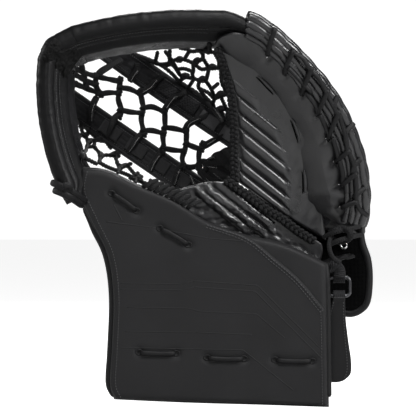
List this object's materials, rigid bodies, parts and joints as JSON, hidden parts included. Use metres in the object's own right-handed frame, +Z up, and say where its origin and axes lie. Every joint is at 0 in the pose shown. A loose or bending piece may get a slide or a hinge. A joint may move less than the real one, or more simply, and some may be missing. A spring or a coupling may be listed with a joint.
{
  "type": "ice hockey goalkeeper catch glove",
  "caption": "Ice hockey goalkeeper catch glove with a padded cuff and thumb board, laced net pocket inside a T-shaped rim, quilted palm, laced finger edge, and a wrist strap.",
  "frame": {"origin": "middle of the wrist opening, level with the lower edge of the cuff", "axes": "+Z up from the cuff to the top of the rim, +Y from the palm to the back of the hand, +X towards the fingers side; the palm and the mouth of the pocket face -Y"},
  "size_m": [0.3157, 0.1811, 0.3654],
  "materials": {
    "leather": "black smooth synthetic leather with fine grain",
    "leather_soft": "black pebbled palm leather",
    "lace": "waxed flat black skate lace",
    "webbing": "black woven nylon",
    "binding": "black woven edge tape",
    "foam": "closed-cell foam",
    "stiffener": "white polyethylene board",
    "lining": "black brushed lining",
    "mesh": "black spacer mesh",
    "metal": "nickel plated wire",
    "eyelet": "black punched ring"
  },
  "bodies": {
    "cuff": {"cuff_cover": "leather", "cuff_overlay": "leather", "cuff_foam": "foam", "cuff_plate": "stiffener", "thumb_plate": "stiffener", "cuff_lining": "lining", "cuff_binding_left": "binding", "cuff_binding_right": "binding", "cuff_laces": "lace", "thumb_laces": "lace", "lace_eyelets": "eyelet", "heel_gusset": "leather_soft", "palm_lower": "leather_soft", "thumb_stall": "lining", "wrist_strap": "webbing", "ring_anchor": "webbing", "rim_left_cover": "leather", "rim_left_foam": "foam", "rim_left_plate": "stiffener", "rim_tie": "leather", "backhand_web": "leather_soft"},
    "pocket": {"rim_corner": "leather", "pocket_band_lower": "leather", "pocket_band_upper": "leather", "pocket_heel": "leather", "pocket_net": "lace", "side_net_lower": "lace", "side_net_upper": "lace"},
    "fingers": {"rim_top_cover": "leather", "rim_top_foam": "foam", "rim_top_plate": "stiffener", "palm_upper": "leather_soft", "palm_foam": "foam", "palm_edge_lace": "lace", "finger_pad": "leather", "finger_plate": "stiffener", "finger_lining": "lining", "finger_stalls": "lining", "edge_roll_front": "leather", "edge_roll_back": "leather", "edge_laces": "lace", "side_wall": "leather", "finger_back_panel": "leather"},
    "strap_ring": {"strap_ring": "metal"},
    "strap_tab": {"strap_tab": "leather", "strap_tab_lining": "lining"},
    "backhand_pad": {"backhand_binding": "binding", "backhand_mesh": "mesh", "backhand_foam": "foam", "backhand_skin": "leather", "backhand_rivet": "metal"}
  },
  "joints": [
    {"name": "close_lower", "type": "hinge", "parent": "cuff", "child": "pocket", "pos_m": [0.097, -0.005, 0.152], "axis": [0.8002, 0.2474, -0.5463], "range_deg": [0, 35], "deforming": ["side_net_lower"]},
    {"name": "close_upper", "type": "hinge", "parent": "pocket", "child": "fingers", "pos_m": [0.097, -0.005, 0.152], "axis": [0.8002, 0.2474, -0.5463], "range_deg": [0, 35], "deforming": ["side_net_upper"]},
    {"name": "ring_swing", "type": "hinge", "parent": "cuff", "child": "strap_ring", "pos_m": [0.111, -0.033, 0.1205], "axis": [1, 0, 0], "range_deg": [0, 30]},
    {"name": "tab_swing", "type": "hinge", "parent": "strap_ring", "child": "strap_tab", "pos_m": [0.111, -0.033, 0.1035], "axis": [1, 0, 0], "range_deg": [0, 35]},
    {"name": "backhand_flap", "type": "hinge", "parent": "cuff", "child": "backhand_pad", "pos_m": [0.084, 0.06, 0.241], "axis": [1, 0, 0], "range_deg": [0, 25]}
  ],
  "couplings": [
    {"joint": "close_upper", "follows": "close_lower", "ratio": 1}
  ]
}
